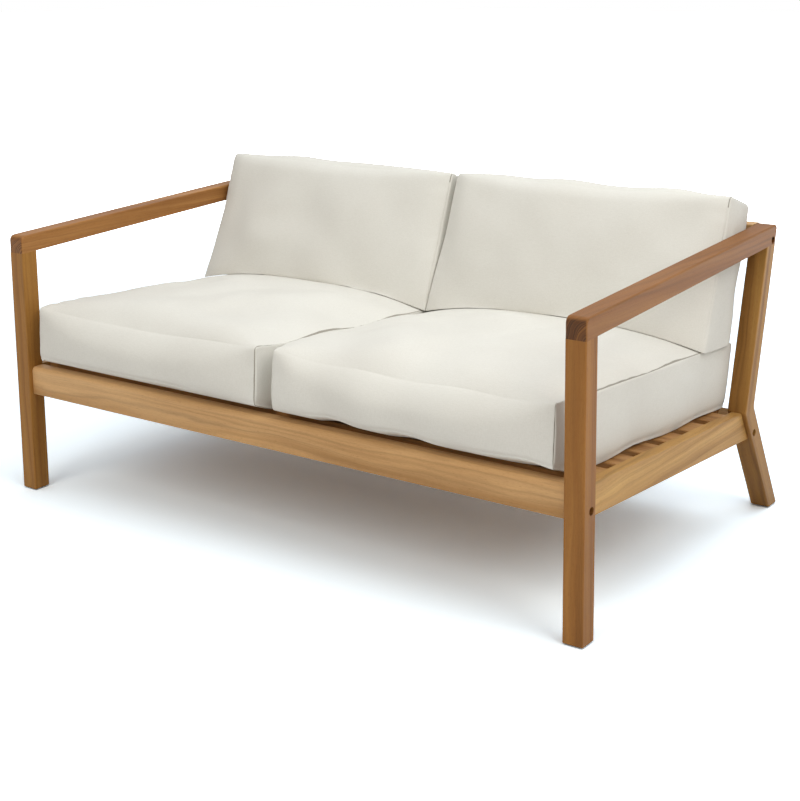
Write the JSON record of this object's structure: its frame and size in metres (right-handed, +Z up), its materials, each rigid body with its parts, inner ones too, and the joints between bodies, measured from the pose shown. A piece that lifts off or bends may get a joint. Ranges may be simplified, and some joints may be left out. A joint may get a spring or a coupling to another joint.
{
  "type": "patio loveseat",
  "caption": "Low outdoor loveseat: a slatted solid timber frame with flat arms and splayed rear legs, carrying loose crowned seat and back cushions.",
  "frame": {"origin": "on the ground, in the middle of the overall width and depth", "axes": "+X to the right as seen from the front, -Y out of the front towards the viewer, +Z up"},
  "size_m": [1.38, 0.8264, 0.6602],
  "materials": {
    "teak": "oiled satin",
    "tenon_wood": "raw",
    "steel": "dull",
    "glide_plastic": "matte",
    "canvas": "woven",
    "filling": "open-cell foam and fibre",
    "zip_tape": "matte"
  },
  "bodies": {
    "frame": {"front_left_leg": "teak", "front_right_leg": "teak", "rear_left_leg": "teak", "rear_right_leg": "teak", "left_arm": "teak", "right_arm": "teak", "left_side_rail": "teak", "right_side_rail": "teak", "left_slat_ledger": "teak", "right_slat_ledger": "teak", "centre_bearer": "teak", "front_rail": "teak", "back_seat_rail": "teak", "back_top_rail": "teak", "seat_slat_1": "teak", "seat_slat_2": "teak", "seat_slat_3": "teak", "seat_slat_4": "teak", "seat_slat_5": "teak", "seat_slat_6": "teak", "back_slat_01": "teak", "back_slat_02": "teak", "back_slat_03": "teak", "back_slat_04": "teak", "back_slat_05": "teak", "back_slat_06": "teak", "back_slat_07": "teak", "back_slat_08": "teak", "back_slat_09": "teak", "back_slat_10": "teak", "back_slat_11": "teak", "back_slat_12": "teak", "back_slat_13": "teak", "frame_bolts": "steel", "bar_nuts": "steel", "slat_screws": "steel", "ledger_screws": "steel", "cross_rail_tenons": "tenon_wood", "arm_tenons": "tenon_wood", "rear_arm_tenons": "tenon_wood", "side_rail_tenons": "tenon_wood", "bearer_tenons": "tenon_wood", "foot_glides": "glide_plastic"},
    "left_seat_cushion": {"left_seat_cover": "canvas", "left_seat_core": "filling", "left_seat_zip": "zip_tape"},
    "left_back_cushion": {"left_back_cover": "canvas", "left_back_core": "filling", "left_back_zip": "zip_tape"},
    "right_seat_cushion": {"right_seat_cover": "canvas", "right_seat_core": "filling", "right_seat_zip": "zip_tape"},
    "right_back_cushion": {"right_back_cover": "canvas", "right_back_core": "filling", "right_back_zip": "zip_tape"}
  },
  "joints": [
    {"name": "left_seat_cushion_draws_out", "type": "slide", "parent": "frame", "child": "left_seat_cushion", "axis": [0, -0.9981, 0.0618], "range_m": [0, 0.7]},
    {"name": "left_back_cushion_lifts_out", "type": "slide", "parent": "frame", "child": "left_back_cushion", "axis": [0, 0, 1], "range_m": [0, 0.36]},
    {"name": "right_seat_cushion_draws_out", "type": "slide", "parent": "frame", "child": "right_seat_cushion", "axis": [0, -0.9981, 0.0618], "range_m": [0, 0.7]},
    {"name": "right_back_cushion_lifts_out", "type": "slide", "parent": "frame", "child": "right_back_cushion", "axis": [0, 0, 1], "range_m": [0, 0.36]}
  ]
}
